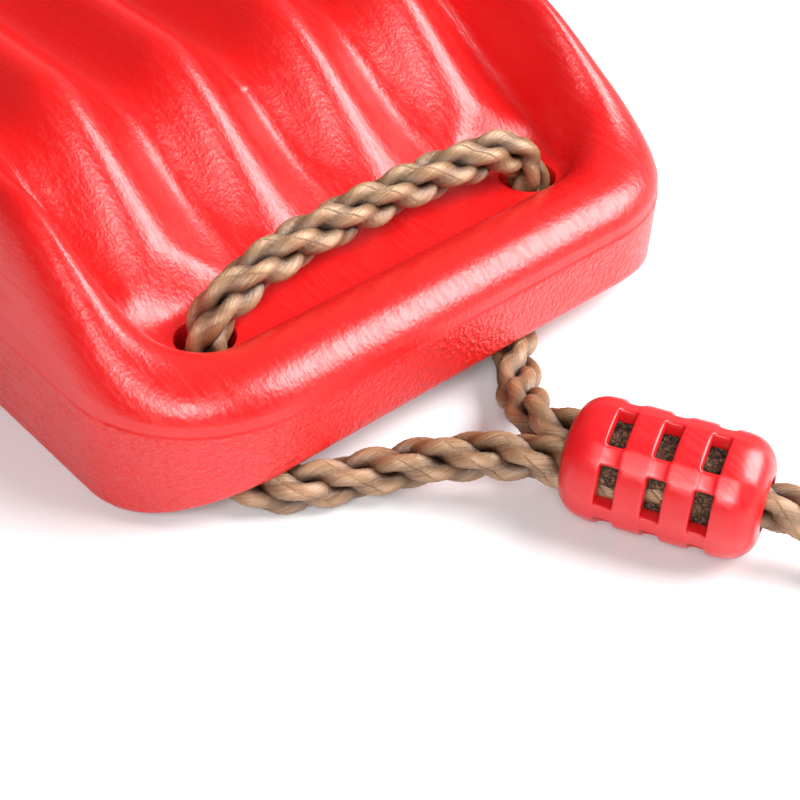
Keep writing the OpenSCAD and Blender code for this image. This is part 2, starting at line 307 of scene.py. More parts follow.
def cut_holes(seat):
    """Cut the four rope holes with rounded lips, and the vent in the underside."""
    lip = 0.8
    profile = [(0, -5), (HOLE_R + lip + 3, -5), (HOLE_R + lip + 3, END_LIFT - 0.5)]
    for k in range(7):
        a = math.pi / 2 * k / 6
        profile.append((HOLE_R + lip * (1 - math.sin(a)), END_LIFT - 0.3 + lip * (1 - math.cos(a))))
    for k in range(7):
        a = math.pi / 2 * k / 6
        profile.append((HOLE_R + lip * (1 - math.cos(a)), GROOVE_Z - lip + lip * math.sin(a) + 0.2))
    profile += [(HOLE_R + lip + 3, GROOVE_Z + 1), (HOLE_R + lip + 3, 60), (0, 60)]
    cutters = []
    for sx in (-1, 1):
        for sy in (-1, 1):
            cutter = lathe(profile, 64, "cutter")
            cutter.location = (sx * HOLE_X * MM, sy * HOLE_Y * MM, 0)
            cutters.append(cutter)
    cutters.append(lathe([(0, -3), (3, -3), (3, 6), (0, 6)], 32, "cutter"))
    for cutter in cutters:
        modifier = seat.modifiers.new("hole", "BOOLEAN")
        modifier.operation = "DIFFERENCE"
        modifier.object = cutter
        modifier.solver = "MANIFOLD"
    applied(seat)
    for cutter in cutters:
        remove(cutter)


# ---------------------------------------------------------------- rope path

def unit(v):
    v = np.asarray(v, float)
    return v / np.linalg.norm(v)


def bezier(a, b, c, d, n=40):
    t = np.linspace(0, 1, n + 1)[:, None]
    s = 1 - t
    a, b, c, d = (np.asarray(q, float) for q in (a, b, c, d))
    return s**3 * a + 3 * s * s * t * b + 3 * s * t * t * c + t**3 * d


def resampled(points, step):
    """Evenly spaced points along a polyline, and the distance of each along it."""
    lengths = np.r_[0, np.cumsum(np.linalg.norm(np.diff(points, axis=0), axis=1))]
    count = max(2, int(round(lengths[-1] / step)))
    at = np.linspace(0, lengths[-1], count + 1)
    return np.column_stack([np.interp(at, lengths, points[:, k]) for k in range(3)]), at


def relaxed(points, times):
    """Points of a polyline, eased toward their neighbours."""
    p = points.copy()
    for _ in range(times):
        p[1:-1] = 0.5 * p[1:-1] + 0.25 * (p[:-2] + p[2:])
    return p


CLAMP_LEN = 44.0
CLAMP_R = 14.0
CLAMP_YAW = 26.0
SPINE_TURN = 13.0
FRAY_FROM, FRAY_TO = 5.0, 37.0
FRAY_WIDE, FRAY_HIGH = 9.2, 8.6
NECK_LEN = 46.0
TAIL_LEN = 33.0
TURN_GAP = 3.0
LEG_SIDE = ROPE_R + 0.1
NEAR_CROSS, NEAR_HEADING = np.array([END_X, -47.0, ROPE_R]), 71.0
FAR_CROSS, FAR_HEADING = np.array([END_X, 15.5, ROPE_R]), -38.0
NEAR_OUT, FAR_OUT = -40.0, -46.0
NEAR_REACH, FAR_REACH = 15.5, 9.5
FOOT_BEND_R = END_LIFT - ROPE_R


def heading(degrees):
    a = math.radians(degrees)
    return np.array([math.cos(a), math.sin(a), 0.0])


MOUTH = joint_point("right_clamp_turn") + TURN_GAP * heading(CLAMP_YAW)
RING_PIN = joint_point("right_ring_flip")
RUN_Y = RING_PIN[1]
EYE_R = RING_PIN[2] - ROPE_R
TOP_LOW, TOP_HIGH = node_box("right_top_clamp")
TOP_MOUTH_X, TOP_EXIT_X = TOP_LOW[0], TOP_HIGH[0]


def from_mouth(x, y, z):
    return MOUTH + x * heading(CLAMP_YAW) + y * heading(CLAMP_YAW + 90) + [0, 0, z]


def turn_circle():
    """Centre and radius of the resting turn, between the clamp's line and the long run."""
    start = from_mouth(CLAMP_LEN + NECK_LEN, 0, 0)
    radius = (RUN_Y - start[1]) / (1 + math.cos(math.radians(CLAMP_YAW)))
    return (start + radius * heading(CLAMP_YAW + 90))[:2], radius


def foot_bend(foot, out):
    """Below a hole the rope turns from upright to flat on the floor."""
    a = np.linspace(0, math.pi / 2, 12)[:, None]
    return foot + FOOT_BEND_R * (1 - np.cos(a)) * heading(out) + \
        (ROPE_R + FOOT_BEND_R * (1 - np.sin(a))) * np.array([0, 0, 1])


def to_cross(foot, out, cross_at, cross_heading):
    start = foot + FOOT_BEND_R * heading(out) + [0, 0, ROPE_R]
    reach = np.linalg.norm(cross_at - start) * 0.42
    return bezier(start, start + reach * heading(out),
                  cross_at - reach * heading(cross_heading), cross_at)


def leg_curve(cross_at, cross_heading, mouth, reach):
    return bezier(cross_at, cross_at + reach * heading(cross_heading),
                  mouth - reach * heading(CLAMP_YAW), mouth)


def rope_path():
    """The whole rope of the right end, from its tail in one clamp to its end in the other."""
    high, sink = GROOVE_Z + ROPE_R + 7, GROOVE_Z - 2
    near_foot = np.array([HOLE_X, -HOLE_Y, 0])
    far_foot = np.array([HOLE_X, HOLE_Y, 0])
    far_mouth = from_mouth(-TURN_GAP, LEG_SIDE, 0)
    near_mouth = from_mouth(-TURN_GAP, -LEG_SIDE, 0)
    middle = np.array([HOLE_X - 2.5, 0, high])
    centre, radius = turn_circle()
    parts = [
        [from_mouth(TAIL_LEN, LEG_SIDE - 0.6, 0), from_mouth(4, LEG_SIDE, 0)],
        leg_curve(FAR_CROSS, FAR_HEADING, far_mouth, FAR_REACH)[::-1],
        to_cross(far_foot, FAR_OUT, FAR_CROSS, FAR_HEADING)[::-1],
        foot_bend(far_foot, FAR_OUT)[::-1],
        bezier([HOLE_X, HOLE_Y, sink], [HOLE_X, HOLE_Y, high + 3.5],
               [HOLE_X - 1, 30, high], middle),
        bezier(middle, [HOLE_X - 2, -30, high], [HOLE_X, -HOLE_Y, high - 2.5],
               [HOLE_X, -HOLE_Y, sink]),
        foot_bend(near_foot, NEAR_OUT),
        to_cross(near_foot, NEAR_OUT, NEAR_CROSS, NEAR_HEADING),
        leg_curve(NEAR_CROSS, NEAR_HEADING, near_mouth, NEAR_REACH),
        [from_mouth(24, -LEG_SIDE + 0.6, 0), from_mouth(36, -1, 0),
         from_mouth(CLAMP_LEN + 2, 0, 0)],
    ]
    drop = ROPE_R - CLAMP_R
    parts.append([from_mouth(CLAMP_LEN + 2 + 32 * t, 0, drop * smooth(t))
                  for t in np.linspace(0.1, 1, 10)])
    first, last = (math.radians(a) for a in (CLAMP_YAW - 90, 90))
    parts.append([[centre[0] + radius * math.cos(a), centre[1] + radius * math.sin(a), ROPE_R]
                  for a in np.linspace(first, last, 60)])
    rise = CLAMP_R - ROPE_R
    parts.append([[TOP_EXIT_X + 42 - 40 * t, RUN_Y, ROPE_R + rise * smooth(t)]
                  for t in np.linspace(0, 1, 12)])
    parts.append([[TOP_EXIT_X - 14, RUN_Y, CLAMP_R], [TOP_EXIT_X - 32, RUN_Y, CLAMP_R + LEG_SIDE],
                  [TOP_MOUTH_X, RUN_Y, CLAMP_R + LEG_SIDE]])
    parts.append([[RING_PIN[0] + EYE_R * math.cos(a), RUN_Y, RING_PIN[2] + EYE_R * math.sin(a)]
                  for a in np.linspace(math.pi / 2, 3 * math.pi / 2, 24)])
    parts.append([[TOP_MOUTH_X, RUN_Y, CLAMP_R - LEG_SIDE],
                  [TOP_MOUTH_X + 14, RUN_Y, CLAMP_R - LEG_SIDE]])
    dense, _ = resampled(np.vstack([np.array(p, float) for p in parts]), 1.0)
    points, at = resampled(relaxed(dense, 6), ROPE_STEP)
    points[:, 2] = np.maximum(points[:, 2], STRAND_OUT + STRAND_R)
    return points, at


# ---------------------------------------------------------------- laid rope

ROPE_STEP = 1.2
LAY = 41.0
STRAND_R = 3.15
STRAND_OUT = 2.8
PLIES = 2
PLY_PITCH = 13.6
PLY_R = 1.98
PLY_OUT = STRAND_R - PLY_R
STRAND_SIDES = 32


def turned_frames(points):
    """Tangents and two square directions carried along a path with no twist of their own."""
    tangents = np.gradient(points, axis=0)
    tangents /= np.linalg.norm(tangents, axis=1)[:, None]
    side = unit(np.cross(tangents[0], [0.3, 0.2, 1.0]))
    sides = []
    for t in tangents:
        side = unit(side - (side @ t) * t)
        sides.append(side)
    sides = np.array(sides)
    return tangents, sides, np.cross(tangents, sides)


def strand_rings(points, at, strand):
    """Rings of one strand along the whole path, each with the lobes of its plies."""
    _, n, b = turned_frames(points)
    phase = 2 * np.pi * (at / LAY + strand / 3)
    out = np.cos(phase)[:, None] * n + np.sin(phase)[:, None] * b
    centres = points + STRAND_OUT * out
    t = np.gradient(centres, axis=0)
    t /= np.linalg.norm(t, axis=1)[:, None]
    e1 = out - (out * t).sum(1)[:, None] * t
    e1 /= np.linalg.norm(e1, axis=1)[:, None]
    e2 = np.cross(t, e1)
    around = np.linspace(0, 2 * np.pi, STRAND_SIDES, endpoint=False)
    twist = -2 * np.pi * at / PLY_PITCH + strand * 0.7
    half = np.pi / PLIES
    psi = half - np.abs((around[None, :] - twist[:, None]) % (2 * half) - half)
    radius = PLY_OUT * np.cos(psi) + np.sqrt(PLY_R**2 - (PLY_OUT * np.sin(psi)) ** 2)
    ring = (radius[..., None] * (np.cos(around)[None, :, None] * e1[:, None]
                                 + np.sin(around)[None, :, None] * e2[:, None]))
    block = centres[:, None] + ring
    from_axis = np.linalg.norm(block - points[:, None], axis=2)
    # Painted shade in the creases between strands: 0 at the rope's outside, rising toward its axis.
    crease_shade = np.clip((1 - from_axis / (STRAND_OUT + STRAND_R)) / 0.5, 0, 1)
    lobe = np.round((around[None, :] - twist[:, None]) / (2 * half)) * 2 * half + twist[:, None]
    ply = centres[:, None] + PLY_OUT * (np.cos(lobe)[..., None] * e1[:, None]
                                        + np.sin(lobe)[..., None] * e2[:, None])
    lobe_next = lobe - 2 * np.pi * ROPE_STEP / PLY_PITCH
    c1, f1, f2 = (np.roll(v, -1, axis=0) for v in (centres, e1, e2))
    ply_next = c1[:, None] + PLY_OUT * (np.cos(lobe_next)[..., None] * f1[:, None]
                                        + np.sin(lobe_next)[..., None] * f2[:, None])
    fibre = ply_next - ply
    fibre[-1] = fibre[-2]
    fibre /= np.linalg.norm(fibre, axis=2)[..., None]
    return block, crease_shade, fibre


def rope_piece(name, path, first, last, flip):
    """One closed piece of laid rope between two distances along the path."""
    points, at, strands = path
    a, b = np.searchsorted(at, first), np.searchsorted(at, last)
    rows = np.arange(a, min(b, len(at) - 1) + 1)
    vertices, faces, along, around, crease_shades, fibres = [], [], [], [], [], []
    for strand in strands:
        base = sum(len(v) for v in vertices)
        block, crease_shade, fibre = (v[rows] for v in strand)
        if flip:
            block, fibre = block * [-1, -1, 1], fibre * [-1, -1, 1]
        crease_shades.append(crease_shade.ravel())
        fibres.append(fibre.reshape(-1, 3))
        n = len(rows)
        vertices.append(block.reshape(-1, 3))
        faces += [tuple(base + i for i in f) for f in grid_faces(n, STRAND_SIDES)]
        faces.append(tuple(base + k for k in range(STRAND_SIDES - 1, -1, -1)))
        faces.append(tuple(base + (n - 1) * STRAND_SIDES + k for k in range(STRAND_SIDES)))
        along.append(np.repeat(at[rows], STRAND_SIDES))
        around.append(np.tile(np.arange(STRAND_SIDES) / STRAND_SIDES, n))
    obj = new_object(name, np.vstack(vertices), faces)
    add_value(obj, "along", np.concatenate(along))
    add_value(obj, "around", np.concatenate(around))
    # The painted crease shade goes along as a point attribute for the rope material.
    add_value(obj, "crease_shade", np.concatenate(crease_shades))
    direction = obj.data.attributes.new("fibre", "FLOAT_VECTOR", "POINT")
    direction.data.foreach_set("vector", np.vstack(fibres).astype(np.float32).ravel())
    outward(obj)
    obj.data.materials.append(MATERIALS["rope"])
    return obj


def add_value(obj, name, values):
    attribute = obj.data.attributes.new(name, "FLOAT", "POINT")
    attribute.data.foreach_set("value", np.asarray(values, np.float32))


def nearest_at(path, point):
    points, at, _ = path
    return at[np.argmin(np.linalg.norm(points - point, axis=1))]


def build_ropes(side):
    """The pieces of one end's rope, each on its body, or left free where it crosses a hinge."""
    flip = side == "left"
    path = PATH
    turn = -1 if flip else 1

    def place(p):
        return Vector((turn * p[0] * MM, turn * p[1] * MM, p[2] * MM))

    def body(name):
        return "seat" if name == "seat" else f"{side}_{name}"

    def node(*names):
        return [f"{side}_{n}" for n in names]

    def station(point):
        return nearest_at(path, point)

    centre, radius = turn_circle()
    step = (180 - CLAMP_YAW) / 2

    def on_turn(k):
        a = math.radians(CLAMP_YAW - 90 + k * step)
        return np.array([centre[0] + radius * math.cos(a),
                         centre[1] + radius * math.sin(a), ROPE_R])

    end = path[1][-1]
    far_leg_from = station(from_mouth(-TURN_GAP - 13, LEG_SIDE - 1, -4))
    s_far_in = station(FAR_CROSS - 14 * heading(FAR_HEADING))
    s_near_in = station(NEAR_CROSS - 12 * heading(NEAR_HEADING))
    s_near_leg = station([END_X + 12, -26, 6])
    s_tail = station(from_mouth(1, LEG_SIDE, 0))
    s_near_mouth = station(from_mouth(2, -LEG_SIDE, 0))
    hinge_from, hinge_to = (END_X - 3, 0, 0), (END_X + 11, 0, 0)
    mouth_from, mouth_to = from_mouth(-12, 0, 0), from_mouth(0, 0, 0)
    pieces = [
        ("tail_end", 0, s_tail, ("clamp",), node("tail_end")),
        ("far_leg", s_tail, far_leg_from,
         ("bridle", "clamp", mouth_from, mouth_to), node("far_leg")),
        ("far_bend", far_leg_from, s_far_in,
         ("seat", "bridle", hinge_from, hinge_to), []),
        ("groove_rope", s_far_in, s_near_in, ("seat",), node("groove_rope")),
        ("near_bend", s_near_in, s_near_leg,
         ("seat", "bridle", hinge_from, hinge_to), []),
        ("near_leg", s_near_leg, s_near_mouth,
         ("bridle", "clamp", mouth_from, mouth_to), node("near_leg")),
        ("clamp_rope", s_near_mouth, station(on_turn(0)), ("clamp",), node("clamp_rope")),
    ]
    chain = ["clamp", "turn", "hanger"]
    for k in range(2):
        stands_for = node("turn_rope") if k == 0 else []
        pieces.append((f"turn_rope_{k + 1}", station(on_turn(k)), station(on_turn(k + 1)),
                       (chain[k], chain[k + 1], on_turn(k), on_turn(k + 1)), stands_for))
    pieces.append(("long_rope", station(on_turn(2)), end + 1,
                   ("hanger",), node("long_rope", "eye_rope")))
    for name, first, last, rides, stands_for in pieces:
        obj = rope_piece(f"{side}_{name}_strands", path, first, last, flip)
        if stands_for:
            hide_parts(*stands_for)
        if len(rides) == 1:
            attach(obj, body(rides[0]))
        else:
            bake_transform(obj)


# ---------------------------------------------------------------- clamps

def build_fray(side, which):
    """The frayed end of the rope's tail, which fills the inside of a clamp."""
    rows, columns = 60, 120
    points = []
    for i in range(rows):
        t = i / (rows - 1)
        x = mix(FRAY_FROM, FRAY_TO, t)
        size = math.sqrt(max(0.0, 1 - (2 * t - 1) ** 8)) + 0.02
        for k in range(columns):
            a = 2 * math.pi * k / columns
            wisps = (0.35 * math.sin(17 * a + 2 * math.sin(0.6 * x))
                     + 0.25 * math.sin(29 * a - 0.9 * x) + 0.3 * math.sin(1.3 * x + 5 * a))
            points.append((x, (FRAY_WIDE + wisps) * size * math.cos(a),
                           (FRAY_HIGH + wisps) * size * math.sin(a)))
    faces = grid_faces(rows, columns)
    faces.append(tuple(range(columns - 1, -1, -1)))
    faces.append(tuple((rows - 1) * columns + k for k in range(columns)))
    obj = outward(new_object(f"{side}_{which}_fray", points, faces))
    settle(obj, side, which)
    obj.data.materials.append(MATERIALS["fray"])
    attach(obj, f"{side}_clamp" if which == "seat_clamp" else f"{side}_hanger")


def settle(obj, side, which):
    """Move a mesh drawn along X from a clamp's mouth to the clamp's own place."""
    if which == "seat_clamp":
        place, yaw = MOUTH, CLAMP_YAW
    else:
        place, yaw = np.array([TOP_MOUTH_X, RUN_Y, CLAMP_R]), 0
    sign = -1 if side == "left" else 1
    turned = math.radians(yaw + (180 if side == "left" else 0))
    obj.data.transform(Matrix.Rotation(turned, 4, "Z"))
    obj.data.transform(Matrix.Translation(Vector(place * [sign, sign, 1]) * MM))


def build_clamp(side, which):
    """A caged barrel: end caps and two hoops joined by six spines, hollow inside."""
    cap, window, hoop = 9.9, 3.8, 6.4
    spine_half = math.asin(4.8 / 2 / CLAMP_R)
    spine_r, bore, neck = CLAMP_R - 0.25, ROPE_R * 2 + 0.4, ROPE_R + 1.2
    ease = 0.55
    rows = []
    for a in np.linspace(0, math.pi / 2, 6):
        rows.append((7 * (1 - math.cos(a)), CLAMP_R - 7 + 7 * math.sin(a)))
    edges = [cap, cap + window, cap + window + hoop, cap + 2 * window + hoop,
             cap + 2 * window + 2 * hoop, cap + 3 * window + 2 * hoop]
    stations = list(rows)
    for k, edge in enumerate(edges):
        if k % 2 == 0:
            stations += [(edge - ease, CLAMP_R), (edge, CLAMP_R),
                         (edge + ease, CLAMP_R), (edge + window - ease, CLAMP_R)]
        else:
            stations += [(edge, CLAMP_R), (edge + ease, CLAMP_R)]
    stations += [(CLAMP_LEN - x, r) for x, r in rows[::-1]]
    columns = []
    for k in range(6):
        middle = math.radians(60 * k + SPINE_TURN)
        e = ease / CLAMP_R
        columns += [middle - spine_half, middle - spine_half + e,
                    middle + spine_half - e, middle + spine_half,
                    middle + spine_half + e,
                    middle + math.radians(20), middle + math.radians(40),
                    middle + math.radians(60) - spine_half - e]
    bm = bmesh.new()
    outer, inner = [], []
    for x, r in stations:
        cell_out, cell_in = [], []
        strictly = any(edges[j] + 1e-6 < x < edges[j + 1] - 1e-6 for j in (0, 2, 4))
        ri = bore if x < CLAMP_LEN - 3.5 else neck
        for angle in columns:
            ro = spine_r if strictly else r
            q = min(ri, r - 0.6)
            across, up = math.cos(angle) * MM, math.sin(angle) * MM
            cell_out.append(bm.verts.new((x * MM, ro * across, ro * up)))
            cell_in.append(bm.verts.new((x * MM, q * across, q * up)))
        outer.append(cell_out)
        inner.append(cell_in)
    count = len(columns)

    def is_open(i, c):
        """Is the cell after row i and column c a window?"""
        x = (stations[i][0] + stations[i + 1][0]) / 2
        row_open = any(edges[j] < x < edges[j + 1] for j in (0, 2, 4))
        part = c % 8
        return row_open and part >= 3

    for i in range(len(stations) - 1):
        for c in range(count):
            d = (c + 1) % count
            if is_open(i, c):
                continue
            bm.faces.new((outer[i][c], outer[i + 1][c], outer[i + 1][d], outer[i][d]))
            bm.faces.new((inner[i][d], inner[i + 1][d], inner[i + 1][c], inner[i][c]))
    for c in range(count):
        d = (c + 1) % count
        bm.faces.new((outer[0][d], inner[0][d], inner[0][c], outer[0][c]))
        bm.faces.new((outer[-1][c], inner[-1][c], inner[-1][d], outer[-1][d]))
    for i in range(len(stations) - 1):
        for c in range(count):
            if not is_open(i, c):
                continue
            d = (c + 1) % count
            before, after = (c - 1) % count, d
            if not is_open(i, before):
                bm.faces.new((outer[i][c], outer[i + 1][c], inner[i + 1][c], inner[i][c]))
            if not is_open(i, after):
                bm.faces.new((outer[i + 1][d], outer[i][d], inner[i][d], inner[i + 1][d]))
            if not is_open(i - 1, c):
                bm.faces.new((outer[i][d], outer[i][c], inner[i][c], inner[i][d]))
            if not is_open(i + 1, c):
                bm.faces.new((outer[i + 1][c], outer[i + 1][d], inner[i + 1][d], inner[i + 1][c]))
    bmesh.ops.recalc_face_normals(bm, faces=bm.faces)
    mesh = bpy.data.meshes.new(f"{side}_{which}_cage")
    bm.to_mesh(mesh)
    bm.free()
    obj = bpy.data.objects.new(f"{side}_{which}_cage", mesh)
    bpy.context.scene.collection.objects.link(obj)
    for polygon in mesh.polygons:
        polygon.use_smooth = True
    subdivision = obj.modifiers.new("round", "SUBSURF")
    subdivision.levels = subdivision.render_levels = 2
    applied(obj)
    settle(obj, side, which)
    obj.data.materials.append(MATERIALS["clamp"])
    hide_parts(f"{side}_{which}")
    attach(obj, f"{side}_clamp" if which == "seat_clamp" else f"{side}_hanger")


# ---------------------------------------------------------------- materials

def material(name):
    m = bpy.data.materials.new(name)
    m.use_nodes = True
    m.node_tree.nodes.clear()
    return m, m.node_tree.nodes, m.node_tree.links


def add(nodes, kind, **values):
    node = nodes.new(kind)
    for key, value in values.items():
        if key in node.inputs:
            node.inputs[key].default_value = value
        else:
            setattr(node, key, value)
    return node


def plastic(name, deep, light, grained):
    """Glossy moulded plastic: flow lines along the seat, fine dust, and pebble grain when asked."""
    m, nodes, links = material(name)
    out = add(nodes, "ShaderNodeOutputMaterial")
    shader = add(nodes, "ShaderNodeBsdfPrincipled")
    shader.inputs["IOR"].default_value = 1.55
    shader.inputs["Subsurface Weight"].default_value = 0.12
    shader.inputs["Subsurface Radius"].default_value = (0.004, 0.0008, 0.0008)
    shader.inputs["Subsurface Scale"].default_value = 1.0
    place = add(nodes, "ShaderNodeTexCoord")
    broad = add(nodes, "ShaderNodeTexNoise")
    broad.inputs["Scale"].default_value = 16
    links.new(place.outputs["Object"], broad.inputs["Vector"])
    ramp = add(nodes, "ShaderNodeValToRGB")
    ramp.color_ramp.elements[0].position = 0.3
    ramp.color_ramp.elements[0].color = (*deep, 1)
    ramp.color_ramp.elements[1].position = 0.7
    ramp.color_ramp.elements[1].color = (*light, 1)
    links.new(broad.outputs["Fac"], ramp.inputs["Fac"])
    links.new(ramp.outputs["Color"], shader.inputs["Base Color"])
    stretch = add(nodes, "ShaderNodeMapping")
    stretch.inputs["Scale"].default_value = (22, 1100, 500)
    links.new(place.outputs["Object"], stretch.inputs["Vector"])
    lines = add(nodes, "ShaderNodeTexNoise")
    lines.inputs["Scale"].default_value = 1.0
    lines.inputs["Detail"].default_value = 4
    links.new(stretch.outputs["Vector"], lines.inputs["Vector"])
    sharp = add(nodes, "ShaderNodeMapRange")
    sharp.inputs["From Min"].default_value = 0.36
    sharp.inputs["From Max"].default_value = 0.56
    links.new(lines.outputs["Fac"], sharp.inputs["Value"])
    bump = add(nodes, "ShaderNodeBump")
    bump.inputs["Strength"].default_value = 0.3 if grained else 0.12
    bump.inputs["Distance"].default_value = 0.00010
    links.new(sharp.outputs["Result"], bump.inputs["Height"])
    rough = add(nodes, "ShaderNodeMapRange")
    rough.inputs["To Min"].default_value = 0.40
    rough.inputs["To Max"].default_value = 0.28
    links.new(sharp.outputs["Result"], rough.inputs["Value"])
    links.new(rough.outputs["Result"], shader.inputs["Roughness"])
    last = bump
    if grained:
        last = pebbled(nodes, links, place, bump)
    links.new(last.outputs["Normal"], shader.inputs["Normal"])
    links.new(shader.outputs["BSDF"], out.inputs["Surface"])
    return m


def pebbled(nodes, links, place, before):
    """Pebble grain: strong below the parting line, faint everywhere above it."""
    pebble = add(nodes, "ShaderNodeTexVoronoi")
    pebble.inputs["Scale"].default_value = 1300
    pebble.inputs["Randomness"].default_value = 1.0
    pebble.feature = "SMOOTH_F1"
    wander = add(nodes, "ShaderNodeTexNoise")
    wander.inputs["Scale"].default_value = 700
    wander.inputs["Detail"].default_value = 3
    links.new(place.outputs["Object"], pebble.inputs["Vector"])
    links.new(place.outputs["Object"], wander.inputs["Vector"])
    both = add(nodes, "ShaderNodeMath", operation="MULTIPLY_ADD")
    links.new(pebble.outputs["Distance"], both.inputs[0])
    both.inputs[1].default_value = 0.6
    links.new(wander.outputs["Fac"], both.inputs[2])
    split = add(nodes, "ShaderNodeSeparateXYZ")
    links.new(place.outputs["Object"], split.inputs["Vector"])
    height = add(nodes, "ShaderNodeMapRange")
    height.inputs["From Min"].default_value = (PARTING_Z - 0.8) * MM
    height.inputs["From Max"].default_value = (PARTING_Z - 0.4) * MM
    height.inputs["To Min"].default_value = 1.0
    height.inputs["To Max"].default_value = 0.16
    links.new(split.outputs["Z"], height.inputs["Value"])
    grain = add(nodes, "ShaderNodeBump")
    grain.inputs["Distance"].default_value = 0.0005
    links.new(height.outputs["Result"], grain.inputs["Strength"])
    links.new(both.outputs["Value"], grain.inputs["Height"])
    links.new(before.outputs["Normal"], grain.inputs["Normal"])
    return grain


def rope_fibre():
    m, nodes, links = material("rope")
    out = add(nodes, "ShaderNodeOutputMaterial")
    shader = add(nodes, "ShaderNodeBsdfPrincipled")
    shader.inputs["Roughness"].default_value = 0.42
    shader.inputs["Metallic"].default_value = 0.25
    shader.inputs["Specular IOR Level"].default_value = 0.9
    shader.inputs["Anisotropic"].default_value = 0.75
    shader.inputs["Anisotropic Rotation"].default_value = 0.25
    fibres = add(nodes, "ShaderNodeAttribute", attribute_name="fibre")
    links.new(fibres.outputs["Vector"], shader.inputs["Tangent"])
    crease_shade = add(nodes, "ShaderNodeAttribute", attribute_name="crease_shade")
    along = add(nodes, "ShaderNodeAttribute", attribute_name="along")
    around = add(nodes, "ShaderNodeAttribute", attribute_name="around")
    twist = add(nodes, "ShaderNodeMath", operation="MULTIPLY_ADD")
    links.new(along.outputs["Fac"], twist.inputs[0])
    twist.inputs[1].default_value = 1 / PLY_PITCH
    links.new(around.outputs["Fac"], twist.inputs[2])
    joined = add(nodes, "ShaderNodeCombineXYZ")
    links.new(twist.outputs["Value"], joined.inputs["X"])
    links.new(along.outputs["Fac"], joined.inputs["Y"])
    stretch = add(nodes, "ShaderNodeMapping")
    stretch.inputs["Scale"].default_value = (60, 0.10, 1)
    links.new(joined.outputs["Vector"], stretch.inputs["Vector"])
    fibre = add(nodes, "ShaderNodeTexNoise")
    fibre.inputs["Scale"].default_value = 1.0
    fibre.inputs["Detail"].default_value = 3
    links.new(stretch.outputs["Vector"], fibre.inputs["Vector"])
    ramp = add(nodes, "ShaderNodeValToRGB")
    ramp.color_ramp.elements[0].position = 0.3
    ramp.color_ramp.elements[0].color = (0.21, 0.10, 0.042, 1)
    ramp.color_ramp.elements[1].position = 0.7
    ramp.color_ramp.elements[1].color = (0.47, 0.28, 0.145, 1)
    links.new(fibre.outputs["Fac"], ramp.inputs["Fac"])
    # Painted shade: the fibre colour is mixed toward near-black where the crease shade is high,
    # darkening the creases between strands.
    shaded = add(nodes, "ShaderNodeMix", data_type="RGBA")
    links.new(crease_shade.outputs["Fac"], shaded.inputs[0])
    links.new(ramp.outputs["Color"], shaded.inputs[6])
    shaded.inputs[7].default_value = (0.045, 0.016, 0.006, 1)
    links.new(shaded.outputs[2], shader.inputs["Base Color"])
    bump = add(nodes, "ShaderNodeBump")
    bump.inputs["Strength"].default_value = 0.7
    bump.inputs["Distance"].default_value = 0.0004
    links.new(fibre.outputs["Fac"], bump.inputs["Height"])
    links.new(bump.outputs["Normal"], shader.inputs["Normal"])
    links.new(shader.outputs["BSDF"], out.inputs["Surface"])
    return m


def frayed():
    """Loose rope fibres: dark brown wisps that run mostly along the clamp."""
    m, nodes, links = material("fray")
    out = add(nodes, "ShaderNodeOutputMaterial")
    shader = add(nodes, "ShaderNodeBsdfPrincipled")
    shader.inputs["Roughness"].default_value = 0.7
    place = add(nodes, "ShaderNodeTexCoord")
    wisp = add(nodes, "ShaderNodeTexNoise")
    wisp.inputs["Scale"].default_value = 1400
    wisp.inputs["Detail"].default_value = 5
    wisp.inputs["Distortion"].default_value = 1.5
    links.new(place.outputs["Object"], wisp.inputs["Vector"])
    ramp = add(nodes, "ShaderNodeValToRGB")
    ramp.color_ramp.elements[0].position = 0.42
    ramp.color_ramp.elements[0].color = (0.022, 0.010, 0.006, 1)
    ramp.color_ramp.elements[1].position = 0.66
    ramp.color_ramp.elements[1].color = (0.30, 0.15, 0.08, 1)
    links.new(wisp.outputs["Fac"], ramp.inputs["Fac"])
    links.new(ramp.outputs["Color"], shader.inputs["Base Color"])
    bump = add(nodes, "ShaderNodeBump")
    bump.inputs["Strength"].default_value = 1.0
    bump.inputs["Distance"].default_value = 0.001
    links.new(wisp.outputs["Fac"], bump.inputs["Height"])
    links.new(bump.outputs["Normal"], shader.inputs["Normal"])
    links.new(shader.outputs["BSDF"], out.inputs["Surface"])
    return m


def steel():
    m, nodes, links = material("steel")
    out = add(nodes, "ShaderNodeOutputMaterial")
    shader = add(nodes, "ShaderNodeBsdfPrincipled")
    shader.inputs["Metallic"].default_value = 1.0
    place = add(nodes, "ShaderNodeTexCoord")
    noise = add(nodes, "ShaderNodeTexNoise")
    noise.inputs["Scale"].default_value = 160
    noise.inputs["Detail"].default_value = 4
    links.new(place.outputs["Object"], noise.inputs["Vector"])
    ramp = add(nodes, "ShaderNodeValToRGB")
    ramp.color_ramp.elements[0].color = (0.42, 0.42, 0.44, 1)
    ramp.color_ramp.elements[1].color = (0.72, 0.72, 0.74, 1)
    links.new(noise.outputs["Fac"], ramp.inputs["Fac"])
    links.new(ramp.outputs["Color"], shader.inputs["Base Color"])
    rough = add(nodes, "ShaderNodeMapRange")
    rough.inputs["To Min"].default_value = 0.22
    rough.inputs["To Max"].default_value = 0.42
    links.new(noise.outputs["Fac"], rough.inputs["Value"])
    links.new(rough.outputs["Result"], shader.inputs["Roughness"])
    bump = add(nodes, "ShaderNodeBump")
    bump.inputs["Strength"].default_value = 0.15
    bump.inputs["Distance"].default_value = 0.0002
    links.new(noise.outputs["Fac"], bump.inputs["Height"])
    links.new(bump.outputs["Normal"], shader.inputs["Normal"])
    links.new(shader.outputs["BSDF"], out.inputs["Surface"])
    return m


# ---------------------------------------------------------------- stage

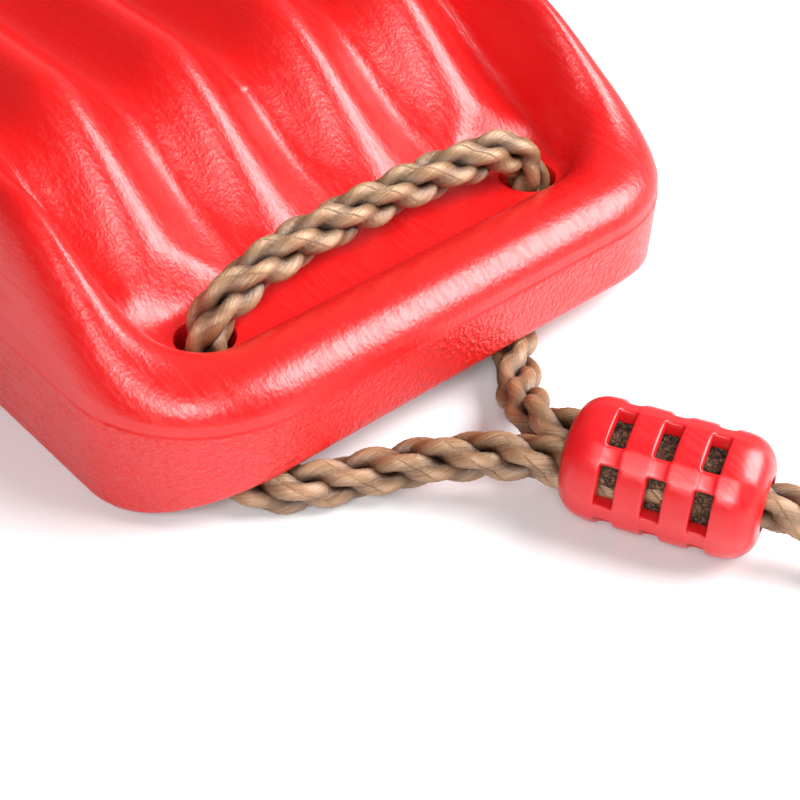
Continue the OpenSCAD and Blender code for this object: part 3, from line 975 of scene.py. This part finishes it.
CAMERA_LENS = 1664
CAMERA_AZIMUTH, CAMERA_ELEVATION = 49.02, 40.42
CAMERA_PLACE = (424.7, -207.8, 258.5)
IMAGE_W = 800
SENSOR_W = 36.0


def build_camera():
    data = bpy.data.cameras.new("camera")
    data.sensor_width = SENSOR_W
    data.lens = CAMERA_LENS * SENSOR_W / IMAGE_W
    data.clip_start, data.clip_end = 0.01, 20
    camera = bpy.data.objects.new("camera", data)
    camera.location = [v * MM for v in CAMERA_PLACE]
    camera.rotation_euler = (math.radians(90 - CAMERA_ELEVATION), 0, math.radians(CAMERA_AZIMUTH))
    bpy.context.scene.collection.objects.link(camera)
    bpy.context.scene.camera = camera


def area_light(name, place, target, size, power, colour=(1, 1, 1)):
    data = bpy.data.lights.new(name, "AREA")
    data.shape = "RECTANGLE"
    data.size, data.size_y = size
    data.energy = power
    data.color = colour
    light = bpy.data.objects.new(name, data)
    light.location = place
    light.rotation_euler = (Vector(target) - Vector(place)).to_track_quat("-Z", "Y").to_euler()
    bpy.context.scene.collection.objects.link(light)


def build_stage():
    bpy.ops.mesh.primitive_plane_add(size=30)
    floor = bpy.context.object
    floor.name = "floor"
    m, nodes, links = material("floor")
    out = add(nodes, "ShaderNodeOutputMaterial")
    shader = add(nodes, "ShaderNodeBsdfPrincipled")
    shader.inputs["Base Color"].default_value = (0.78, 0.775, 0.785, 1)
    shader.inputs["Roughness"].default_value = 0.3
    place = add(nodes, "ShaderNodeNewGeometry")
    distance = add(nodes, "ShaderNodeVectorMath", operation="LENGTH")
    links.new(place.outputs["Position"], distance.inputs[0])
    far = add(nodes, "ShaderNodeMapRange")
    far.inputs["From Min"].default_value = 0.7
    far.inputs["From Max"].default_value = 3.0
    far.inputs["To Max"].default_value = 0.75
    links.new(distance.outputs["Value"], far.inputs["Value"])
    links.new(far.outputs["Result"], shader.inputs["Emission Strength"])
    shader.inputs["Emission Color"].default_value = (1, 1, 1, 1)
    links.new(shader.outputs["BSDF"], out.inputs["Surface"])
    floor.data.materials.append(m)
    world = bpy.data.worlds.new("studio")
    bpy.context.scene.world = world
    world.use_nodes = True
    nodes, links = world.node_tree.nodes, world.node_tree.links
    background = nodes["Background"]
    place = nodes.new("ShaderNodeTexCoord")
    split = nodes.new("ShaderNodeSeparateXYZ")
    links.new(place.outputs["Generated"], split.inputs["Vector"])
    shade = nodes.new("ShaderNodeMapRange")
    shade.inputs["From Min"].default_value = -0.4
    shade.inputs["From Max"].default_value = 0.8
    shade.inputs["To Min"].default_value = 0.12
    shade.inputs["To Max"].default_value = 0.38
    links.new(split.outputs["Y"], shade.inputs["Value"])
    path = nodes.new("ShaderNodeLightPath")
    seen = nodes.new("ShaderNodeMix")
    links.new(path.outputs["Is Camera Ray"], seen.inputs[0])
    links.new(shade.outputs["Result"], seen.inputs[2])
    seen.inputs[3].default_value = 0.85
    links.new(seen.outputs[0], background.inputs["Strength"])
    background.inputs["Color"].default_value = (1, 1, 1, 1)
    area_light("key", (0.80, 0.82, 0.95), (0.17, 0, 0), (1.1, 1.1), 50)
    area_light("fill", (0.9, -0.9, 0.9), (0.17, 0, 0), (0.7, 0.7), 20)
    bpy.context.scene.view_settings.view_transform = "Standard"


# ---------------------------------------------------------------- build

MATERIALS = {
    "seat": plastic("seat_red", (0.54, 0.004, 0.005), (0.59, 0.007, 0.007), True),
    "clamp": plastic("clamp_red", (0.54, 0.005, 0.008), (0.59, 0.008, 0.012), False),
    "rope": rope_fibre(),
    "fray": frayed(),
    "steel": steel(),
}

seat = build_seat()
seat.data.materials.clear()
seat.data.materials.append(MATERIALS["seat"])
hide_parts("seat")
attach(seat, "seat")

_points, _at = rope_path()
PATH = (_points, _at, [strand_rings(_points, _at, k) for k in range(3)])
for side in ("right", "left"):
    build_ropes(side)
    for which in ("seat_clamp", "top_clamp"):
        build_clamp(side, which)
        build_fray(side, which)
    for material_slot in frame["nodes"][f"{side}_ring"].material_slots:
        material_slot.material = MATERIALS["steel"]

build_stage()
build_camera()
